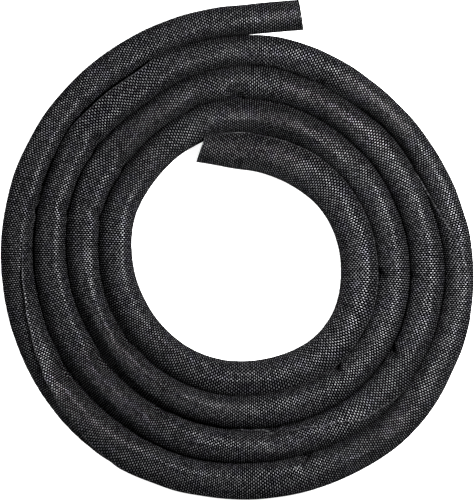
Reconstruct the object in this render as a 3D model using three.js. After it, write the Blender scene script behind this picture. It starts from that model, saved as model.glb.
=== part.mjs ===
// Woven cable sleeve, split along its length and rolled round itself, lying flat in a loose spiral.
// Millimetres, +Z up. The origin is on the floor, under the middle of the coil's box.
import * as THREE from "three";

// The strip of woven cloth and how it is rolled
const sleeveRadius = 11.2; // skin of the flap at its free edge, from the middle of the sleeve
const wall = 1.0;
const lapClearance = 0.4; // between the flap and the layer that it covers
const lapAngle = THREE.MathUtils.degToRad(90); // how far the flap reaches over the other edge
const floorPress = 0.2; // how far the sleeve's own weight flattens its underside
const facetsPerRoll = 12;

// The spiral, as angles turned clockwise from +Y and seen from above
const startRadius = 72.9; // of the sleeve's middle line where the angle is zero
const turnGap = 0.4; // between the skins of neighbouring turns
const innerEndAngle = THREE.MathUtils.degToRad(-21);
const outerEndAngle = THREE.MathUtils.degToRad(4 * 360 + 13);
const stepsPerTurn = 36;

// How far the laid coil is out of round: a shift to one side, an oval and a soft three-cornered shape,
// each with the angle at which it points
const outOfRound = [
  { lobes: 1, reach: 1.4, towards: THREE.MathUtils.degToRad(70) },
  { lobes: 2, reach: 1.9, towards: THREE.MathUtils.degToRad(-40) },
  { lobes: 3, reach: 1.0, towards: THREE.MathUtils.degToRad(2) },
];

// The outer end springs away from the round of the coil
const outerEndLift = 6.9;
const outerEndSpring = THREE.MathUtils.degToRad(14);

const roll = 2 * Math.PI;
const facetAngle = roll / facetsPerRoll;
const lapPitch = wall + lapClearance;
const turnPitch = 2 * sleeveRadius + turnGap;

// The free edge of the flap lies on the outward flank, half a facet up, so that one facet lies level below
const seamAngle = facetAngle / 2;
const straightDown = 1.5 * Math.PI;

// Skin radius of the rolled strip, after turning in from the flap's free edge
function skinRadius(turned) {
  return sleeveRadius - (lapPitch * turned) / roll;
}

// Height of the sleeve's middle line over the floor
const middleHeight = skinRadius(straightDown - seamAngle) * Math.cos(facetAngle / 2) - floorPress;

// Distance of the sleeve's middle line from the pole of the spiral
function routeRadius(angle) {
  let radius = startRadius + (turnPitch * angle) / roll;
  for (const { lobes, reach, towards } of outOfRound) {
    radius += reach * Math.cos(lobes * (angle - towards));
  }
  const spring = Math.max(0, 1 - (outerEndAngle - angle) / outerEndSpring);
  return radius + outerEndLift * spring ** 2;
}

// Middle line of the sleeve, stepped by equal angles so that the facets of neighbouring turns lie in line
class SpiralRoute extends THREE.Curve {
  getPoint(t, target = new THREE.Vector3()) {
    const angle = THREE.MathUtils.lerp(innerEndAngle, outerEndAngle, t);
    const radius = routeRadius(angle);
    return target.set(radius * Math.sin(angle), radius * Math.cos(angle), middleHeight);
  }

  getUtoTmapping(u) {
    return u;
  }

  // Frames that stay level: the section's x points out of the coil and its y points up
  computeFrenetFrames(segments) {
    const up = new THREE.Vector3(0, 0, 1);
    const frames = { tangents: [], normals: [], binormals: [] };
    for (let i = 0; i <= segments; i += 1) {
      const tangent = this.getTangent(i / segments);
      frames.tangents.push(tangent);
      frames.normals.push(new THREE.Vector3().crossVectors(up, tangent).normalize());
      frames.binormals.push(up.clone());
    }
    return frames;
  }
}

// A point of the rolled strip's section, no deeper below the middle line than the floor allows
function sectionPoint(radius, angle, depth) {
  return new THREE.Vector2(radius * Math.cos(angle), Math.max(radius * Math.sin(angle), -depth));
}

// The strip seen from its cut end: once round, and on under its own flap
function sleeveSection() {
  const skin = [];
  const lining = [];
  const facets = Math.round((roll + lapAngle) / facetAngle);
  for (let i = 0; i <= facets; i += 1) {
    const turned = ((roll + lapAngle) * i) / facets;
    const radius = skinRadius(turned);
    skin.push(sectionPoint(radius, seamAngle + turned, middleHeight));
    lining.push(sectionPoint(radius - wall, seamAngle + turned, middleHeight - wall));
  }
  return new THREE.Shape([...skin, ...lining.reverse()]);
}

function wovenPlastic() {
  return new THREE.MeshStandardMaterial({ color: 0x1b1b1e, roughness: 0.7, metalness: 0 });
}

function braidedSleeve() {
  const steps = Math.round((stepsPerTurn * (outerEndAngle - innerEndAngle)) / roll);
  const geometry = new THREE.ExtrudeGeometry(sleeveSection(), { steps, extrudePath: new SpiralRoute() });
  geometry.computeBoundingBox();
  const middle = geometry.boundingBox.getCenter(new THREE.Vector3());
  const sleeve = new THREE.Mesh(geometry, wovenPlastic());
  sleeve.name = "braided_sleeve";
  sleeve.position.set(-middle.x, -middle.y, 0);
  return sleeve;
}

const cableSleeve = new THREE.Group();
cableSleeve.add(braidedSleeve());

export default cableSleeve;
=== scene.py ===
"""Black woven cable sleeve, split along its length and rolled round itself, laid flat in a loose spiral."""
import math
import random

import bpy
import numpy as np
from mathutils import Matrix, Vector


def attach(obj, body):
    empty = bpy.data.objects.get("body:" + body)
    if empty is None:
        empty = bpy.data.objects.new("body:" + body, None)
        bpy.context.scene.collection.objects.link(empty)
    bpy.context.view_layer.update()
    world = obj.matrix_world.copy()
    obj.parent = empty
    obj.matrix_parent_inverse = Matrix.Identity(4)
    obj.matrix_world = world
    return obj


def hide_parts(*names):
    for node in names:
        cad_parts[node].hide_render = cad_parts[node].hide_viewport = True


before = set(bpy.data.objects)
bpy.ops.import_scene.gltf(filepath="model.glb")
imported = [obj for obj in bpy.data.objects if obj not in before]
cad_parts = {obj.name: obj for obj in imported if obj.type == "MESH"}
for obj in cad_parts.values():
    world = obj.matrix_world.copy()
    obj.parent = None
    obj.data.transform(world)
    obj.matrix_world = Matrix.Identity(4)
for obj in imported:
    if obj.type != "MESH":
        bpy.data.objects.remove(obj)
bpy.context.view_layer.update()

bl_info = {
    "name": "Woven cable sleeve",
    "version": (1, 0, 0),
    "blender": (4, 5, 0),
    "location": "3D View > Sidebar > Sleeve",
    "description": "Lays a split, self-wrapping woven sleeve in a loose flat spiral",
    "category": "Add Mesh",
}

NODE = "braided_sleeve"
MM = 0.001
FULL_TURN = 360.0

# The spiral, as in the solid model: lengths in millimetres, angles in degrees clockwise from +Y
START_RADIUS = 73.3
TURN_PITCH = 22.8
INNER_END, OUTER_END = -21.0, 4 * FULL_TURN + 13.0
OUT_OF_ROUND = ((1, 1.4, 70.0), (2, 1.9, -40.0), (3, 1.0, 2.0))
POLE = (4.38, -8.55)

# Where the line between two turns bulges out (plus) or pulls in (minus): turned angle, spread, how far
SWELLS = (
    (22.0, 30.0, -3.5),
    (98.0, 30.0, -2.3),
    (162.0, 28.0, -2.1),
    (240.0, 25.0, -1.0),
    (290.0, 18.0, 1.6),
    (332.0, 12.0, 0.6),
    (359.0, 6.0, 0.8),
    (415.0, 18.0, 0.9),
    (528.0, 16.0, -1.6),
    (588.0, 9.0, -0.8),
    (650.0, 12.0, 1.9),
    (706.0, 11.0, 2.2),
    (724.0, 14.0, 1.4),
    (776.0, 9.0, 0.6),
    (965.0, 16.0, -1.8),
    (1013.0, 15.0, 2.0),
    (1046.0, 9.0, -2.2),
    (1082.0, 11.0, 1.4),
    (1114.0, 14.0, -2.0),
    (1143.0, 10.0, -1.0),
    (1172.0, 9.0, 0.8),
    (1218.0, 9.0, 1.3),
    (1285.0, 26.0, 1.7),
    (1341.0, 8.0, -0.8),
    (1406.0, 13.0, -3.2),
    (1447.0, 12.0, 0.8),
    (1478.0, 12.0, -0.6),
    (1501.0, 45.0, -4.1),
    (1527.0, 20.0, 0.6),
    (1557.0, 8.0, -0.4),
    (1577.0, 12.0, 1.5),
    (1615.0, 35.0, 2.4),
    (1661.0, 26.0, 3.7),
    (1733.0, 22.0, -0.7),
    (1778.0, 34.0, -3.8),
)

# The inner end's corner dents the turn that it leans on: turned angle, spread, depth
DENT = ((344.4, 2.5, 2.3), (348.2, 6.0, 2.3))

# Each cut end springs outwards: where the spring begins, and how far the end moves
INNER_SPRING = (3.0, 8.9)
OUTER_SPRING = (1437.0, 7.7)
# Half the sleeve's width at its outer end
OUTER_END_HALF = 10.6
# The cuts aren't square to the sleeve: degrees, and the length over which the slant fades
INNER_SLANT, OUTER_SLANT, SLANT_FADE = 14.8, -4.7, 30.0

# The sleeve's section is a rounded box: 2 would be an oval, and more is squarer
SQUARENESS = 2.9
# Where the sleeve is wider than its usual height it is flatter, by this share of the difference
HEIGHT_GIVE = 0.3
# How deep the underside would reach into the floor, and so is pressed level: share of a lap, millimetres
LAP_SUNK, FLOOR_PRESS = 0.6, 0.25
# The sleeve is widest below its middle, so its shoulders fall in: degrees, least, most and the limit
SHOULDER = (8.0, 22.0)
SHOULDER_LIMIT = 38.0
# The fall changes slowly along the sleeve: seed, length and number of its waves
SHOULDER_WAVES = (53, 90.0, 5)
# Where the turns sag apart and a dark groove opens between them: turned angle, spread, more degrees
GROOVES = (
    (20.0, 30.0, 18.0),
    (255.0, 25.0, 12.0),
    (375.0, 25.0, 20.0),
    (585.0, 25.0, 16.0),
    (600.0, 40.0, 8.0),
    (945.0, 35.0, 20.0),
    (1225.0, 18.0, 10.0),
    (1310.0, 40.0, 18.0),
)

# How far the soft flanks of neighbouring turns press into each other, in millimetres
TURN_PRESS = 0.5

# The free edge of the flap wanders round the sleeve: turned angle, and degrees up from the outward side
SEAM_KEYS = (
    (INNER_END, 8.0),
    (0.0, 16.0),
    (150.0, 24.0),
    (250.0, 0.0),
    (500.0, -20.0),
    (842.0, 5.0),
    (862.0, 60.0),
    (873.0, 107.0),
    (882.0, 132.0),
    (893.0, 168.0),
    (912.0, 215.0),
    (957.0, 270.0),
    (1005.0, 345.0),
    (1035.0, 398.0),
    (1050.0, 404.0),
    (1066.0, 365.0),
    (1098.0, 265.0),
    (1132.0, 190.0),
    (1196.0, 8.0),
    (1240.0, -12.0),
    (1286.0, 16.0),
    (1297.0, 34.0),
    (1310.7, 50.0),
    (1317.0, 66.0),
    (1324.0, 83.0),
    (1332.8, 98.0),
    (1342.0, 110.0),
    (1353.6, 121.0),
    (1363.0, 165.0),
    (1380.0, 205.0),
    (OUTER_END, 238.0),
)

# Kinks where the cloth gives on the inside of the bend: turned angle, degrees round, depth, half length
KINKS = (
    (116.0, 125.0, 1.0, 3.0),
    (205.0, 150.0, 0.8, 3.0),
    (414.4, 68.0, 0.5, 2.0),
    (455.7, 164.0, 2.6, 3.6),
    (499.9, 158.0, 2.4, 3.4),
    (566.0, 150.0, 1.0, 3.0),
    (595.2, 164.0, 2.4, 5.0),
    (646.0, 158.0, 1.8, 3.2),
    (668.0, 162.0, 2.6, 4.5),
    (702.8, 142.0, 1.5, 6.0),
    (715.4, 122.0, 2.0, 2.4),
    (717.2, 158.0, 3.0, 4.0),
    (816.0, 150.0, 1.0, 3.0),
    (842.0, 158.0, 2.2, 3.4),
    (891.0, 160.0, 2.6, 4.0),
    (929.0, 164.0, 3.0, 5.0),
    (953.5, 166.0, 3.2, 8.0),
    (1005.0, 154.0, 1.2, 3.0),
    (1027.8, 154.0, 2.8, 4.0),
    (1089.0, 150.0, 1.2, 3.0),
    (1103.4, 158.0, 2.2, 3.2),
    (1215.0, 102.0, 0.5, 1.6),
    (1243.0, 160.0, 2.4, 3.6),
    (1317.5, 166.0, 3.2, 9.0),
    (1363.5, 153.0, 1.8, 3.4),
    (1393.0, 146.0, 1.0, 3.0),
)

# Low folds that run along the sleeve: seed, degrees round it; then their height, width, length and wander
FOLDS = ((31, 62.0), (37, 84.0), (41, 103.0), (43, 128.0), (47, 40.0))
FOLD_HEIGHT, FOLD_WIDTH, FOLD_LENGTH, FOLD_WANDER = 0.32, 1.5, 120.0, 16.0
# Over what length they wander, how strong they are at their middle and how much that swings, and the waves
FOLD_WANDER_LENGTH, FOLD_MIDDLE, FOLD_SWING, FOLD_WAVES = 168.0, 0.4, 0.8, 4

# Round a kink: how far its groove and its fan of small folds reach, and how many folds there are
KINK_REACH, FAN_REACH, FAN_FOLDS = 7.5, 8.0, 5
# How much deeper the grooves are than the list of kinks says
KINK_GAIN = 1.4
# A kink's groove leans as it goes round, and low rims stand beside it: lean, height, place in half lengths
KINK_LEAN, RIM_HEIGHT, RIM_PLACE = 0.35, 0.15, 2.0
# The fan's folds: height, how unevenly they spread, how they curve, and how wide the calm core is
FAN_HEIGHT, FAN_UNEVEN, FAN_CURVE, FAN_CORE = 0.08, 1.4, 0.12, 4.0

# Ripples: seed, height, length, number of waves, and how many times these may go round the sleeve
FLANK_RIPPLES = (5, 0.14, 10.0, 6, (0, 1, -1))
SKIN_RIPPLES = (11, 0.15, 34.0, 8, (-2, -1, 0, 1, 2))
# The weave drifts along the sleeve in the same way
WEAVE_DRIFT = (23, 0.5, 70.0, 5, (-1, 0, 1))
# The shortest and the longest wave, as shares of the length that is asked for
WAVE_RANGE = (0.6, 1.7)
# What the underside keeps of all this, and how steeply and from where the rest comes in on the flanks
UNDERSIDE_SHARE, FLANK_STEEPNESS, FLANK_START = 0.2, 2.4, 0.6

# How far the flap's free edge stands off the layer under it: turned angle, height; then over what width
LIFT_KEYS = (
    (INNER_END, 0.9),
    (820.0, 0.7),
    (850.0, 0.15),
    (895.0, 0.15),
    (980.0, 0.9),
    (1098.0, 0.9),
    (1150.0, 0.3),
    (1240.0, 0.3),
    (1285.0, 1.2),
    (1312.0, 2.0),
    (1340.0, 1.8),
    (1358.0, 0.1),
    (1390.0, 0.1),
    (OUTER_END, 0.6),
)
EDGE_SPREAD = 3.5

# The middle line is measured in so many fine steps
FINE_STEPS = 12000
# The lining has one column for so many of the skin's
LINING_EVERY = 2
# The columns are picked from so many fine ones, closer together where the cloth shows, down to that height
FINE_COLUMNS, SHOWN_CLOSER, SHOWN_DOWN_TO = 241, 3.2, 0.25
# How close they lie under the flap, and how far past a full turn that begins
HIDDEN_CLOSE, HIDDEN_PAST = 0.8, 0.1
# The rings stand square to the middle line's direction, evened over so many of them
EVENED_RINGS = 7
# The threads follow the flap's wandering edge only slowly, evened over so many rings
CALM_RINGS = 301
# Faces that meet at less than so many degrees look smooth
SMOOTH_BELOW = 50

# The strip's flat layout for baking: its rows, the shares of a row's height that the skin, the far edge,
# the lining and the near edge take, and the share of the whole that the cut ends take
BAKE_ROWS = 8
BAKE_SHARES = (0.85, 0.02, 0.1, 0.02)
CUT_ENDS_SHARE = 0.016
# How much of its strip a cut end's face fills
CUT_END_FILL = 0.8

# The patches of thread that show, in pitches: half across and its power, then half along and its power
WEFT_PATCH = ((0.56, 2.5), (0.205, 2.0))
WARP_PATCH = ((0.4, 2.0), (0.85, 3.0))
# A crosswise thread's round back and its power, where its ends dip under, and a lengthwise one's height
WEFT_BACK, WEFT_ENDS, WARP_HEIGHT = (0.34, 2.0), (0.72, 0.45), 0.6
# From which to which part of its patch a crosswise thread turns light
WEFT_RIM = (0.0, 0.3)
# How light it is: the least, how much chance adds, and the power that makes light ones rare
WEFT_LEAST, WEFT_MORE, CHANCE_POWER = 0.35, 1.15, 1.3
# Clouds over the cloth: how fine, the least light, and how much more
CLOUD_SCALE, CLOUD_LEAST, CLOUD_MORE = 55.0, 0.75, 0.5
# Where the crosswise threads are tinted: how fine, from which to which value, and the colour
TINT_SCALE, TINT_STEP, TINTED_WEFT = 95.0, (0.5, 0.7), (0.056, 0.055, 0.064)
# Painted shade: the darkest places, between the threads, where shade falls through the weave
PAINTED_GAP_SHADE = (0.0003, 0.0003, 0.0004)
# The selvedge: how much of its width is full, how light it is (partly its own closed loops, partly a painted
# highlight on its raised edge), and how much more painted highlight it gets where it is turned up
SELVEDGE_FULL, SELVEDGE_LIGHT, TURNED_UP_PAINTED_HIGHLIGHT = 0.6, 0.15, 0.7
# Where it is turned up and gets the painted highlight, in millimetres from the inner end: it begins and ends
# over these stretches
TURNED_UP_BEGINS, TURNED_UP_ENDS = (10.0, 14.0), (28.0, 24.0)
# How rough the black threads are, how much smoother the light ones, and their sheen
ROUGHNESS, WEFT_SMOOTHER, WEFT_SHEEN = 0.75, 0.37, 0.45
# The tint of light that glances off them, and how strong the relief of the threads is
EDGE_TINT = (0.3, 0.3, 0.3, 1)
BUMP_STRENGTH = 0.6

# The photo's frame and the place of the spiral's pole in it, in pixels, and a pixel's size on the coil
PHOTO_SIZE = (474, 500)
PHOTO_POLE = (244.6, 258.9)
PIXEL = 0.69 * MM
# The height in the sleeve to which a pixel's size belongs, and how far the camera sees
PIXEL_HEIGHT = 10 * MM
SIGHT = 20.0

# The floor, in metres
FLOOR_WIDTH, FLOOR_ROUGHNESS = 6.0, 0.9

# The lamps: name, place in metres, width
KEY_LAMP = ("key_light", (0.35, 0.1, 0.6), 0.2)
SIDE_LAMP = ("side_light", (-0.61, 0.51, 0.67), 0.4)


class SleeveShape(bpy.types.PropertyGroup):
    """Sizes of the strip and of the mesh that stands for it."""

    strip_width: bpy.props.FloatProperty(
        name="Strip width", description="Width of the woven strip before it is rolled", default=86 * MM,
        unit="LENGTH",
    )
    wall: bpy.props.FloatProperty(
        name="Wall", description="Thickness of the woven cloth", default=0.9 * MM, unit="LENGTH"
    )
    lap_gap: bpy.props.FloatProperty(
        name="Lap gap", description="Room between the flap and the layer under it", default=0.15 * MM,
        unit="LENGTH",
    )
    half_height: bpy.props.FloatProperty(
        name="Half height", description="Half the height of the rolled sleeve", default=10.4 * MM,
        unit="LENGTH",
    )
    ring_step: bpy.props.FloatProperty(
        name="Ring step", description="Distance between the mesh's rings", default=2.0 * MM, unit="LENGTH"
    )
    columns: bpy.props.IntProperty(
        name="Columns", description="Faces across the strip's outer side, an even number", default=40
    )


class WeaveLook(bpy.types.PropertyGroup):
    """Pitch, relief and colours of the cloth."""

    weft_pitch: bpy.props.FloatProperty(
        name="Weft pitch", description="Distance between crosswise threads", default=1.47 * MM, unit="LENGTH"
    )
    warp_pitch: bpy.props.FloatProperty(
        name="Warp pitch", description="Distance between lengthwise threads", default=1.24 * MM, unit="LENGTH"
    )
    thread_height: bpy.props.FloatProperty(
        name="Thread height", description="How far a thread stands out of the cloth", default=0.3 * MM,
        unit="LENGTH",
    )
    selvedge_width: bpy.props.FloatProperty(
        name="Selvedge", description="Width of the closed row of loops along the flap's edge",
        default=0.9 * MM, unit="LENGTH",
    )
    warp_color: bpy.props.FloatVectorProperty(
        name="Warp", description="Black lengthwise threads", subtype="COLOR",
        default=(0.0006, 0.0006, 0.0008),
    )
    weft_color: bpy.props.FloatVectorProperty(
        name="Weft", description="Grey crosswise threads", subtype="COLOR", default=(0.059, 0.059, 0.061)
    )


class StageLook(bpy.types.PropertyGroup):
    """Floor, light and camera."""

    floor_color: bpy.props.FloatVectorProperty(
        name="Floor", description="Pale floor", subtype="COLOR", default=(0.6, 0.6, 0.6)
    )
    floor_glow: bpy.props.FloatProperty(
        name="Floor glow", description="How much the floor is overexposed to the eye", default=0.9
    )
    camera_height: bpy.props.FloatProperty(
        name="Camera height", description="Height of the camera over the floor", default=1.6, unit="LENGTH"
    )
    key_power: bpy.props.FloatProperty(
        name="Key light", description="Power of the near lamp on the right", default=30.0, unit="POWER"
    )
    side_power: bpy.props.FloatProperty(
        name="Side light", description="Power of the lamp at the upper left", default=16.0, unit="POWER"
    )
    fill_strength: bpy.props.FloatProperty(
        name="Fill", description="Strength of the light from all round", default=0.4
    )


def between_turns(turned):
    """Radius in millimetres of the line where a turn meets the one inside it."""
    radius = START_RADIUS - TURN_PITCH / 2 + TURN_PITCH * turned / FULL_TURN
    for lobes, reach, towards in OUT_OF_ROUND:
        radius = radius + reach * np.cos(np.radians(lobes * (turned - towards)))
    for at, spread, reach in SWELLS:
        radius = radius + reach * np.exp(-(((turned - at) / spread) ** 2))
    return radius


def eased(x):
    """0 below 0, 1 above 1 and smooth between."""
    x = np.clip(x, 0, 1)
    return x * x * (3 - 2 * x)


def sprung(turned, radius, half):
    """The radius and the half width once both cut ends have sprung outwards."""
    for (begins, lift), end in ((INNER_SPRING, INNER_END), (OUTER_SPRING, OUTER_END)):
        share = np.clip((turned - begins) / (end - begins), 0, None)
        steepness = 2 * lift * share / abs(end - begins) / (radius * math.radians(1))
        radius = radius + lift * share**2
        half = half * np.cos(np.arctan(steepness))
    ending = eased((turned - OUTER_SPRING[0]) / (OUTER_END - OUTER_SPRING[0]))
    return radius, half + (OUTER_END_HALF - half) * ending


def middle_line(turned):
    """Places in metres along the sleeve's middle line, and half its width there."""
    inside, outside = between_turns(turned), between_turns(turned + FULL_TURN)
    for at, spread, depth in DENT:
        inside = inside + depth * np.exp(-(((turned - at) / spread) ** 2))
    radius, half = sprung(turned, (inside + outside) / 2, (outside - inside + TURN_PRESS) / 2)
    angle = np.radians(turned)
    places = np.stack([POLE[0] + radius * np.sin(angle), POLE[1] + radius * np.cos(angle)], 1)
    return places * MM, half * MM


def evenly_spaced(step):
    """Turned angles of rings about a step apart along the middle line, and their distances along it."""
    turned = np.linspace(INNER_END, OUTER_END, FINE_STEPS)
    places, _ = middle_line(turned)
    along = np.concatenate([[0], np.cumsum(np.linalg.norm(np.diff(places, axis=0), axis=1))])
    count = round(along[-1] / step) + 1
    distances = np.linspace(0, along[-1], count)
    return np.interp(distances, along, turned), distances


def eased_between(keys, turned):
    """The value that a list of turned angles and values gives, smooth between them."""
    at, value = np.array(keys).T
    i = np.clip(np.searchsorted(at, turned, side="right") - 1, 0, len(at) - 2)
    share = eased((turned - at[i]) / (at[i + 1] - at[i]))
    return value[i] + (value[i + 1] - value[i]) * share


def waves(seed, distances, angles, length, count, lobes):
    """Gentle random waves over the sleeve, between about -1 and 1."""
    draw = random.Random(seed)
    total = np.zeros(np.broadcast(distances, angles).shape)
    for _ in range(count):
        pitch = length * draw.uniform(*WAVE_RANGE)
        phase = draw.uniform(0, 2 * math.pi)
        turns = draw.choice(lobes)
        total = total + np.cos(2 * math.pi * distances / pitch + turns * angles + phase)
    return total / math.sqrt(count)


def ripples(kind, distances, angles, share=1.0):
    """The height in metres of one kind of ripples, where the cloth takes that share of them."""
    seed, height, length, count, lobes = kind
    return height * MM * share * waves(seed, distances, angles, length * MM, count, lobes)


def way_round(angles, towards, radius):
    """How far each angle lies from the one given, measured round the sleeve in metres."""
    turn = angles - towards
    return radius * np.arctan2(np.sin(turn), np.cos(turn))


def long_folds(distances, angles, radius):
    """How far the folds along the sleeve stand out, in metres: they wander round it and fade in and out."""
    raised = 0.0
    for seed, towards in FOLDS:
        wander = FOLD_WANDER * waves(seed, distances, 0.0, FOLD_WANDER_LENGTH * MM, FOLD_WAVES, (0,))
        swing = waves(seed + 1, distances, 0.0, FOLD_LENGTH * MM, FOLD_WAVES, (0,))
        strength = eased(FOLD_MIDDLE + FOLD_SWING * swing)
        off = way_round(angles, np.radians(towards + wander), radius) / (FOLD_WIDTH * MM)
        raised = raised + strength * np.exp(-(off**2))
    return FOLD_HEIGHT * MM * raised


def fan_of_folds(at, along, around):
    """Small uneven folds that fan out round a kink, between about -1 and 1, with a calm core."""
    away = along**2 + around**2
    ray = np.arctan2(around, along)
    uneven = FAN_FOLDS * ray + FAN_UNEVEN * np.sin(2 * ray + at) + FAN_CURVE * along + at
    return np.cos(uneven) * np.exp(-away / FAN_REACH**2) * (1 - np.exp(-away / FAN_CORE**2))


def kinked(turned, distances, angles, radius):
    """How far the cloth sinks at its kinks, in metres, at each ring and angle."""
    depth = np.zeros(np.broadcast(distances, angles).shape)
    for at, round_to, deep, half_length in KINKS:
        along = (distances - np.interp(at, turned[:, 0], distances[:, 0])) / MM
        around = way_round(angles, math.radians(round_to), radius) / MM
        lean = (along + KINK_LEAN * around) / half_length
        groove = np.exp(-(lean**2)) - RIM_HEIGHT * np.exp(-((np.abs(lean) - RIM_PLACE) ** 2))
        depth = depth + KINK_GAIN * deep * MM * groove * np.exp(-((around / KINK_REACH) ** 2))
        depth = depth - FAN_HEIGHT * deep * MM * fan_of_folds(at, along, around)
    return depth


def pressed_in(turned, distances, angles, radius):
    """How far the cloth sinks at its kinks, ripples and folds, in metres, at each ring and angle."""
    inner_flank = np.clip(-np.cos(angles), 0, 1) ** 2
    depth = kinked(turned, distances, angles, radius)
    depth = depth + ripples(FLANK_RIPPLES, distances, angles, inner_flank)
    depth = depth + ripples(SKIN_RIPPLES, distances, angles)
    depth = depth - long_folds(distances, angles, radius)
    upward = eased(FLANK_STEEPNESS * np.sin(angles) + FLANK_START)
    return depth * (UNDERSIDE_SHARE + (1 - UNDERSIDE_SHARE) * upward)


def shares_across(seam, wrap, count):
    """Where the mesh's columns lie across the strip, closer together where the cloth shows."""
    fine = np.linspace(0, 1, FINE_COLUMNS)
    rolled = wrap[:, None] * fine
    density = 1 + SHOWN_CLOSER * np.clip(np.sin(seam[:, None] + rolled) + SHOWN_DOWN_TO, 0, 1)
    density = np.where(rolled > 2 * math.pi + HIDDEN_PAST, HIDDEN_CLOSE, density)
    total = np.cumsum(density, axis=1) - density[:, :1]
    total /= total[:, -1:]
    even = np.linspace(0, 1, count + 1)
    return np.stack([np.interp(even, row, fine) for row in total])


def shoulder(turned, distances):
    """How far the widest places lie below the sleeve's middle, in radians round it."""
    least, most = SHOULDER
    seed, length, count = SHOULDER_WAVES
    share = eased(0.5 + 0.5 * waves(seed, distances, 0.0, length * MM, count, (0,)))
    fall = least + (most - least) * share
    for at, spread, more in GROOVES:
        fall = fall + more * np.exp(-(((turned - at) / spread) ** 2))
    return np.radians(np.minimum(fall, SHOULDER_LIMIT))


def fallen_in(angles, fall):
    """The angles that give the sleeve's width once its shoulders have fallen in."""
    up = np.arctan2(np.sin(angles), np.abs(np.cos(angles)))
    quarter = math.pi / 2
    above = up + fall * (1 - up / quarter)
    below = -quarter + (quarter + fall) * (1 + up / quarter)
    fallen = np.where(up > 0, above, below)
    return np.where(np.cos(angles) >= 0, fallen, math.pi - fallen)


def boxed(angles):
    """How much further out the rounded box reaches than an oval, at each angle."""
    reach = np.abs(np.cos(angles)) ** SQUARENESS + np.abs(np.sin(angles)) ** SQUARENESS
    return reach ** (-1 / SQUARENESS)


def evened(rows, count):
    """Each row averaged with its neighbours, so many rows together."""
    padded = np.pad(rows, ((count // 2, count // 2), (0, 0)), mode="edge")
    return np.stack([np.convolve(column, np.ones(count) / count, "valid") for column in padded.T], 1)


def filled_out(across, half, pressed):
    """Widens each ring so that, but for its kinks, it reaches its full width on both sides."""
    unkinked = across + pressed
    widest, narrowest = unkinked.max(axis=1, keepdims=True), unkinked.min(axis=1, keepdims=True)
    return (across - (widest + narrowest) / 2) * 2 * half / (widest - narrowest)


def directions(places):
    """The directions along the middle line and outwards from it at each ring."""
    forward = evened(np.gradient(places, axis=0), EVENED_RINGS)
    forward /= np.linalg.norm(forward, axis=1)[:, None]
    return forward, np.stack([-forward[:, 1], forward[:, 0]], 1)


def cut_slant(distances):
    """How far each ring leans along the sleeve, for each length across it, towards the slanted cuts."""
    inner, outer = math.tan(math.radians(INNER_SLANT)), math.tan(math.radians(OUTER_SLANT))
    fade = SLANT_FADE * MM
    return inner * np.exp(-distances / fade) + outer * np.exp((distances - distances[-1]) / fade)


class RolledStrip:
    """The strip rolled along the spiral, with a row of values for each ring and a column across the strip."""

    def __init__(self, shape):
        turned, distances = evenly_spaced(shape.ring_step)
        places, half = middle_line(turned)
        height = shape.half_height - HEIGHT_GIVE * (half - shape.half_height)
        perimeter = 2 * math.pi * np.sqrt((half**2 + height**2) / 2)
        wrap = 2 * math.pi * shape.strip_width / perimeter
        seam = np.radians(eased_between(SEAM_KEYS, turned))
        outer = shares_across(seam, wrap, shape.columns)
        inner = outer[:, ::-LINING_EVERY]
        self.shape, self.places = shape, places
        self.turned, self.distances, self.half, self.height, self.seam = (
            values[:, None] for values in (turned, distances, half, height, seam)
        )
        self.shares = np.concatenate([outer, inner], axis=1)
        self.lining = np.repeat([0.0, 1.0], [outer.shape[1], inner.shape[1]])[None, :]
        self.rolled = wrap[:, None] * self.shares
        self.angles = self.seam + self.rolled
        self.lap_pitch = shape.wall + shape.lap_gap
        self.middle = self.height - self.lap_pitch * LAP_SUNK - FLOOR_PRESS * MM

    def edge_lift(self):
        """How far the cloth near the flap's free edge stands off the layer under it, in metres."""
        lift = eased_between(LIFT_KEYS, self.turned[:, 0])[:, None]
        from_edge = self.shares * self.shape.strip_width / (EDGE_SPREAD * MM)
        return lift * MM * np.exp(-(from_edge**2))

    def across_and_up(self):
        """How far outwards from the middle line each point lies, and how high over the floor."""
        pressed = pressed_in(self.turned, self.distances, self.angles, self.shape.half_height)
        sunk = self.lap_pitch * self.rolled / (2 * math.pi) + self.shape.wall * self.lining
        sunk = sunk + pressed - self.edge_lift()
        fallen = fallen_in(self.angles, shoulder(self.turned, self.distances))
        sideways = np.cos(fallen) * boxed(fallen)
        across = filled_out((self.half - sunk) * sideways, self.half, pressed * sideways)
        up = self.middle + (self.height - sunk) * np.sin(self.angles) * boxed(self.angles)
        return across, np.maximum(up, self.shape.wall * self.lining)

    def points(self):
        """The mesh's points, ring by ring and then round the strip's section."""
        across, up = self.across_and_up()
        forward, outward = directions(self.places)
        sideways = outward[:, None] * across[..., None]
        slanted = forward[:, None] * (cut_slant(self.distances) * across)[..., None]
        placed = np.empty((*across.shape, 3))
        placed[..., :2] = self.places[:, None] + sideways + slanted
        placed[..., 2] = up
        return placed

    def flat_places(self):
        """Each point's place in the weave, and its place on the strip with the flap's edge at 0."""
        along = self.distances + ripples(WEAVE_DRIFT, self.distances, self.angles)
        across = self.shares * self.shape.strip_width
        kept_straight = (self.seam - evened(self.seam, CALM_RINGS)) * self.shape.half_height
        weave = np.stack([along, across + kept_straight], -1)
        return weave.reshape(-1, 2), np.stack([along, across], -1).reshape(-1, 2)

    def centres(self):
        """The middle line's points, at the height of the sleeve's middle."""
        return np.column_stack([self.places, self.middle[:, 0]])


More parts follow.
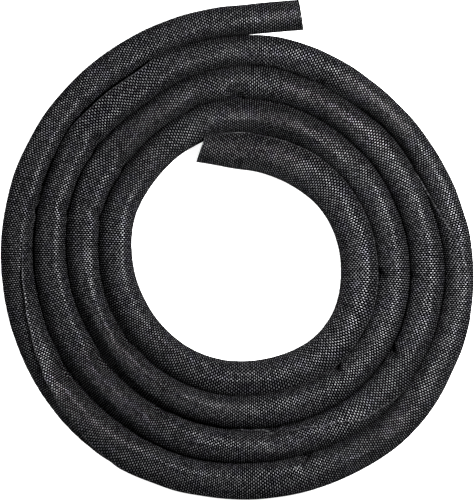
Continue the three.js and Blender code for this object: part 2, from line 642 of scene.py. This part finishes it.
def strip_faces(rings, around, lining):
    """The faces between the rings, and those that close the two cut ends."""
    index = np.arange(rings * around).reshape(rings, around)
    following = np.roll(index, -1, axis=1)
    quads = np.stack([index[:-1], index[1:], following[1:], following[:-1]], -1).reshape(-1, 4).tolist()
    caps = []
    for k in range(lining):
        skin = [LINING_EVERY * k + i for i in range(LINING_EVERY + 1)]
        caps.append(skin + [around - 2 - k, around - 1 - k])
    last = (rings - 1) * around
    caps += [[last + i for i in reversed(face)] for face in caps]
    return quads + caps


def corners(low, high):
    """The low and high ends of each face, in the order of its corners."""
    return np.stack([low, high, high, low], -1)


def quad_bake_places(rings, columns, lining):
    """Where the corners of the faces between the rings lie when the strip is cut in rows and laid flat."""
    skin, far_edge, inside, near_edge = BAKE_SHARES
    shares = [skin / columns] * columns + [far_edge] + [inside / lining] * lining + [near_edge]
    level = np.concatenate([[0], np.cumsum(shares)])
    ring = np.arange(rings - 1)
    in_row = math.ceil((rings - 1) / BAKE_ROWS)
    u = corners((ring % in_row) / in_row, (ring % in_row + 1) / in_row)[:, None]
    low, high = level[:-1], level[1:]
    up_in_row = np.stack([low, low, high, high], -1)
    v = ((ring // in_row)[:, None, None] + up_in_row) * (1 - CUT_ENDS_SHARE) / BAKE_ROWS
    return np.stack(np.broadcast_arrays(u, v), -1).reshape(-1, 2)


def cap_bake_places(lining):
    """Where the corners of the cut ends' faces lie, side by side along the top."""
    corner_u = np.array([*np.linspace(0, 1, LINING_EVERY + 1), 1, 0])
    corner_v = np.array([0] * (LINING_EVERY + 1) + [1, 1])
    caps = []
    for k in range(2 * lining):
        way = 1 if k < lining else -1
        flat = np.stack([(k + corner_u) / (2 * lining), 1 - CUT_ENDS_SHARE * CUT_END_FILL * corner_v], -1)
        caps.append(flat[::way])
    return np.concatenate(caps)


def bake_places(rings, columns, lining):
    """A flat place for each face corner, with no face over another."""
    return np.concatenate([quad_bake_places(rings, columns, lining), cap_bake_places(lining)])


def mesh_object(name, points, faces):
    """A new object in the scene with a mesh of these points and faces."""
    mesh = bpy.data.meshes.new(name)
    mesh.from_pydata([tuple(p) for p in points], [], faces)
    mesh.update()
    piece = bpy.data.objects.new(name, mesh)
    bpy.context.scene.collection.objects.link(piece)
    return piece


def put_map(mesh, name, places):
    """Gives the mesh a map with one place for each face corner."""
    layer = mesh.uv_layers.new(name=name)
    layer.uv.foreach_set("vector", places.astype(np.float32).ravel())


def only_selected(piece):
    """Makes this piece the active one and the only one selected."""
    bpy.ops.object.select_all(action="DESELECT")
    piece.select_set(True)
    bpy.context.view_layer.objects.active = piece


class Wiring:
    """Adds nodes to a tree and joins them in short lines."""

    def __init__(self, tree):
        self.tree = tree

    def node(self, kind, **settings):
        """A new node with these settings."""
        made = self.tree.nodes.new(kind)
        for name, value in settings.items():
            setattr(made, name, value)
        return made

    def feed(self, socket, value):
        """Links a socket into another one, or gives it a plain value."""
        if isinstance(value, bpy.types.NodeSocket):
            self.tree.links.new(value, socket)
        else:
            socket.default_value = value

    def math(self, operation, *values, clamp=False):
        """The result of a sum on sockets or plain numbers."""
        made = self.node("ShaderNodeMath", operation=operation, use_clamp=clamp)
        for socket, value in zip(made.inputs, values):
            self.feed(socket, value)
        return made.outputs[0]

    def blend(self, share, first, second):
        """The colour between two others: the first at 0 and the second at 1."""
        made = self.node("ShaderNodeMix", data_type="RGBA")
        for socket, value in zip((made.inputs[0], made.inputs[6], made.inputs[7]), (share, first, second)):
            self.feed(socket, value if isinstance(value, (bpy.types.NodeSocket, float)) else (*value[:3], 1))
        return made.outputs[2]

    def step(self, value, low, high):
        """0 at low, 1 at high and smooth between."""
        made = self.node("ShaderNodeMapRange", interpolation_type="SMOOTHSTEP")
        for socket, given in zip(made.inputs[:5], (value, low, high, 0.0, 1.0)):
            self.feed(socket, given)
        return made.outputs[0]


def weave_sockets(tree):
    """Gives the weave's node group its inputs and outputs."""
    face = tree.interface
    face.new_socket("Cloth", in_out="INPUT", socket_type="NodeSocketVector")
    for name in ("Weft pitch", "Warp pitch"):
        face.new_socket(name, in_out="INPUT", socket_type="NodeSocketFloat")
    for name in ("Weft", "Warp", "Height", "Chance"):
        face.new_socket(name, in_out="OUTPUT", socket_type="NodeSocketFloat")


def weave_cell(w, given):
    """The row and the pair of threads that a place lies in, and how far off the row's and pair's middle."""
    split = w.node("ShaderNodeSeparateXYZ")
    w.feed(split.inputs[0], given.outputs["Cloth"])
    rows = w.math("DIVIDE", split.outputs[0], given.outputs["Weft pitch"])
    threads = w.math("DIVIDE", split.outputs[1], given.outputs["Warp pitch"])
    row = w.math("FLOOR", rows)
    off_row = w.math("SUBTRACT", w.math("SUBTRACT", rows, row), 0.5)
    staggered = w.math("ADD", threads, row)
    pair = w.math("FLOOR", w.math("DIVIDE", staggered, 2.0))
    place = w.math("SUBTRACT", w.math("SUBTRACT", staggered, w.math("MULTIPLY", pair, 2.0)), 1.0)
    return row, pair, off_row, w.math("ABSOLUTE", place)


def rim_share(w, offset, half, power):
    """How near an offset comes to the half width, to a power."""
    share = w.math("DIVIDE", w.math("ABSOLUTE", offset), half)
    return w.math("POWER", share, power)


def oval(w, across, along, sizes):
    """1 in the middle of a patch of thread, falling to 0 at its rim."""
    reach = w.math("ADD", rim_share(w, across, *sizes[0]), rim_share(w, along, *sizes[1]))
    return w.math("SQRT", w.math("SUBTRACT", 1.0, reach, clamp=True))


def chance_in(w, row, pair):
    """A number from 0 to 1 that stays the same all over one crosswise dash."""
    chance = w.node("ShaderNodeTexWhiteNoise", noise_dimensions="2D")
    cell = w.node("ShaderNodeCombineXYZ")
    w.feed(cell.inputs[0], row)
    w.feed(cell.inputs[1], pair)
    w.feed(chance.inputs["Vector"], cell.outputs[0])
    return chance.outputs["Value"]


def plain_weave():
    """Node group: a plain weave on flat places, thick crosswise threads over thin lengthwise ones."""
    tree = bpy.data.node_groups.new("plain_weave", "ShaderNodeTree")
    weave_sockets(tree)
    w = Wiring(tree)
    row, pair, off_row, off_weft = weave_cell(w, w.node("NodeGroupInput"))
    off_warp = w.math("SUBTRACT", 1.0, off_weft)
    warp = oval(w, off_warp, off_row, WARP_PATCH)
    back = w.math("SQRT", w.math("SUBTRACT", 1.0, rim_share(w, off_row, *WEFT_BACK), clamp=True))
    thread = w.math("MULTIPLY", back, w.step(off_weft, *WEFT_ENDS))
    out = w.node("NodeGroupOutput")
    w.feed(out.inputs["Weft"], oval(w, off_weft, off_row, WEFT_PATCH))
    w.feed(out.inputs["Warp"], warp)
    w.feed(out.inputs["Height"], w.math("MAXIMUM", thread, w.math("MULTIPLY", warp, WARP_HEIGHT)))
    w.feed(out.inputs["Chance"], chance_in(w, row, pair))
    return tree


def clouds(w, scale):
    """Soft noise through the piece's own space, of that fineness."""
    noise = w.node("ShaderNodeTexNoise")
    w.feed(noise.inputs["Vector"], w.node("ShaderNodeTexCoord").outputs["Object"])
    w.feed(noise.inputs["Scale"], scale)
    return noise.outputs["Fac"]


def selvedge_light_and_painted_highlight(w, look):
    """How light the loops along the flap's edge are, partly their own colour and partly a painted highlight
    on the edge: most where the edge is turned up near the inner end, where the painted highlight is
    strongest.
    """
    place = w.node("ShaderNodeSeparateXYZ")
    w.feed(place.inputs[0], w.node("ShaderNodeUVMap", uv_map="strip").outputs[0])
    along, across = place.outputs[:2]
    selvedge = w.step(across, look.selvedge_width, look.selvedge_width * SELVEDGE_FULL)
    begun, not_ended = (
        w.step(along, low * MM, high * MM) for low, high in (TURNED_UP_BEGINS, TURNED_UP_ENDS)
    )
    # painted highlight where the raised edge near the inner end catches the light
    painted_turned_up_highlight = w.math("MULTIPLY", w.math("MULTIPLY", begun, not_ended), TURNED_UP_PAINTED_HIGHLIGHT)
    return w.math("MULTIPLY", selvedge, w.math("ADD", SELVEDGE_LIGHT, painted_turned_up_highlight))


def greyness(w, light, chance):
    """How much of the grey thread's colour shows: it varies from dash to dash and in clouds."""
    rare = w.math("POWER", chance, CHANCE_POWER)
    strength = w.math("ADD", WEFT_LEAST, w.math("MULTIPLY", rare, WEFT_MORE))
    cloudy = w.math("ADD", CLOUD_LEAST, w.math("MULTIPLY", clouds(w, CLOUD_SCALE), CLOUD_MORE))
    return w.math("MINIMUM", w.math("MULTIPLY", w.math("MULTIPLY", light, strength), cloudy), 1.0)


def placed_weave(w, look):
    """The weave's node, fed with the cloth's map and its pitches."""
    weave = w.node("ShaderNodeGroup", node_tree=plain_weave())
    w.feed(weave.inputs["Cloth"], w.node("ShaderNodeUVMap", uv_map="cloth").outputs[0])
    w.feed(weave.inputs["Weft pitch"], look.weft_pitch)
    w.feed(weave.inputs["Warp pitch"], look.warp_pitch)
    return weave


def thread_bump(w, look, height):
    """The normal that the threads' relief gives."""
    bump = w.node("ShaderNodeBump")
    bump.inputs["Distance"].default_value = look.thread_height
    bump.inputs["Strength"].default_value = BUMP_STRENGTH
    w.feed(bump.inputs["Height"], height)
    return bump.outputs[0]


def woven_cloth(look):
    """Black cloth with grey crosswise threads, woven along the strip."""
    material = bpy.data.materials.new("woven_black_cloth")
    material.use_nodes = True
    w = Wiring(material.node_tree)
    shader = material.node_tree.nodes["Principled BSDF"]
    weave = placed_weave(w, look).outputs
    # the light threads, together with the selvedge's loops and their painted highlight
    light = w.math("MAXIMUM", w.step(weave["Weft"], *WEFT_RIM), selvedge_light_and_painted_highlight(w, look))
    weft = w.blend(w.step(clouds(w, TINT_SCALE), *TINT_STEP), look.weft_color, TINTED_WEFT)
    # painted shade in the gaps between the threads, the black lengthwise threads over it
    warp = w.blend(weave["Warp"], PAINTED_GAP_SHADE, look.warp_color)
    roughness = w.math("SUBTRACT", ROUGHNESS, w.math("MULTIPLY", light, WEFT_SMOOTHER))
    w.feed(shader.inputs["Base Color"], w.blend(greyness(w, light, weave["Chance"]), warp, weft))
    w.feed(shader.inputs["Roughness"], roughness)
    w.feed(shader.inputs["Metallic"], w.math("MULTIPLY", light, WEFT_SHEEN))
    w.feed(shader.inputs["Normal"], thread_bump(w, look, weave["Height"]))
    shader.inputs["Specular IOR Level"].default_value = 0.0
    shader.inputs["Specular Tint"].default_value = EDGE_TINT
    return material


def pale_floor(look):
    """Pale floor that glows to the camera alone, so that it looks overexposed, as in the photo."""
    material = bpy.data.materials.new("pale_floor")
    material.use_nodes = True
    w = Wiring(material.node_tree)
    shader = material.node_tree.nodes["Principled BSDF"]
    shader.inputs["Base Color"].default_value = (*look.floor_color, 1)
    shader.inputs["Roughness"].default_value = FLOOR_ROUGHNESS
    shader.inputs["Specular IOR Level"].default_value = 0.0
    shader.inputs["Emission Color"].default_value = (1, 1, 1, 1)
    seen = w.node("ShaderNodeLightPath").outputs["Is Camera Ray"]
    w.feed(shader.inputs["Emission Strength"], w.math("MULTIPLY", seen, look.floor_glow))
    return material


def soft_lamp(lamp, power):
    """A square soft lamp that looks at the middle of the floor."""
    name, place, width = lamp
    bpy.ops.object.light_add(type="AREA", location=place)
    made = bpy.context.object
    made.name = name
    made.data.size = width
    made.data.energy = power
    made.rotation_euler = Vector(place).to_track_quat("Z", "Y").to_euler()


def white_room(look):
    """A world that lights the coil softly from all round and is plain white to the camera."""
    world = bpy.data.worlds.new("soft_white_room")
    world.use_nodes = True
    background = world.node_tree.nodes["Background"]
    background.inputs["Color"].default_value = (1, 1, 1, 1)
    w = Wiring(world.node_tree)
    seen = w.node("ShaderNodeLightPath").outputs["Is Camera Ray"]
    w.feed(background.inputs["Strength"], w.math("MAXIMUM", seen, look.fill_strength))
    return world


class SLEEVE_OT_aim_camera(bpy.types.Operator):
    """Hang the camera straight over the coil, framed as in the photo"""

    bl_idname = "sleeve.aim_camera"
    bl_label = "Aim camera"

    def execute(self, context):
        look = context.scene.stage_look
        across = (PHOTO_SIZE[0] / 2 - PHOTO_POLE[0]) * PIXEL + POLE[0] * MM
        up = (PHOTO_POLE[1] - PHOTO_SIZE[1] / 2) * PIXEL + POLE[1] * MM
        bpy.ops.object.camera_add(location=(across, up, look.camera_height), rotation=(0, 0, 0))
        camera = context.object
        camera.name = "camera_above"
        seen_width = PHOTO_SIZE[1] * PIXEL
        camera.data.lens = camera.data.sensor_width * (look.camera_height - PIXEL_HEIGHT) / seen_width
        camera.data.clip_end = SIGHT
        context.scene.camera = camera
        return {"FINISHED"}


class SLEEVE_OT_lay_sleeve(bpy.types.Operator):
    """Roll the woven strip round itself and lay it in its spiral"""

    bl_idname = "sleeve.lay_sleeve"
    bl_label = "Lay sleeve"

    def execute(self, context):
        scene = context.scene
        columns = scene.sleeve_shape.columns
        lining = columns // LINING_EVERY
        rolled = RolledStrip(scene.sleeve_shape)
        points, centres = rolled.points(), rolled.centres()
        faces = strip_faces(*points.shape[:2], lining)
        sleeve = mesh_object("rolled_woven_sleeve", points.reshape(-1, 3), faces)
        for name, places in zip(("cloth", "strip"), rolled.flat_places()):
            put_map(sleeve.data, name, places[np.concatenate(faces)])
        put_map(sleeve.data, "OFBake", bake_places(len(points), columns, lining))
        only_selected(sleeve)
        bpy.ops.object.mode_set(mode="EDIT")
        bpy.ops.mesh.select_all(action="SELECT")
        bpy.ops.mesh.normals_make_consistent(inside=False)
        bpy.ops.object.mode_set(mode="OBJECT")
        bpy.ops.object.shade_smooth_by_angle(angle=math.radians(SMOOTH_BELOW))
        sleeve.data.materials.append(woven_cloth(scene.weave_look))
        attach(sleeve, "root")
        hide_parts(NODE)
        return {"FINISHED"}


class SLEEVE_OT_set_stage(bpy.types.Operator):
    """Lay the pale floor and set the soft studio light"""

    bl_idname = "sleeve.set_stage"
    bl_label = "Set stage"

    def execute(self, context):
        look = context.scene.stage_look
        bpy.ops.object.select_all(action="DESELECT")
        bpy.ops.mesh.primitive_plane_add(size=FLOOR_WIDTH, location=(0, 0, 0))
        floor = context.object
        floor.name = "floor"
        floor.data.materials.append(pale_floor(look))
        soft_lamp(KEY_LAMP, look.key_power)
        soft_lamp(SIDE_LAMP, look.side_power)
        context.scene.world = white_room(look)
        context.scene.view_settings.view_transform = "Standard"
        return {"FINISHED"}


class SLEEVE_PT_panel(bpy.types.Panel):
    """Lists the steps that make the sleeve"""

    bl_label = "Woven cable sleeve"
    bl_idname = "SLEEVE_PT_panel"
    bl_space_type = "VIEW_3D"
    bl_region_type = "UI"
    bl_category = "Sleeve"

    def draw(self, context):
        for group in (context.scene.sleeve_shape, context.scene.weave_look, context.scene.stage_look):
            box = self.layout.box()
            for name in group.__annotations__:
                box.prop(group, name)
        for step in STEPS:
            self.layout.operator(step.bl_idname)


STEPS = (SLEEVE_OT_aim_camera, SLEEVE_OT_lay_sleeve, SLEEVE_OT_set_stage)
CLASSES = (SleeveShape, WeaveLook, StageLook, *STEPS, SLEEVE_PT_panel)


def register():
    """Tells Blender about the classes, and gives each scene the three groups of values."""
    for made in CLASSES:
        bpy.utils.register_class(made)
    bpy.types.Scene.sleeve_shape = bpy.props.PointerProperty(type=SleeveShape)
    bpy.types.Scene.weave_look = bpy.props.PointerProperty(type=WeaveLook)
    bpy.types.Scene.stage_look = bpy.props.PointerProperty(type=StageLook)


def unregister():
    """Takes back what register did."""
    for name in ("sleeve_shape", "weave_look", "stage_look"):
        delattr(bpy.types.Scene, name)
    for made in reversed(CLASSES):
        bpy.utils.unregister_class(made)


def main():
    """Registers the add-on and makes the camera, the sleeve and the stage."""
    register()
    bpy.ops.sleeve.aim_camera()
    bpy.ops.sleeve.lay_sleeve()
    bpy.ops.sleeve.set_stage()


if __name__ == "__main__":
    main()
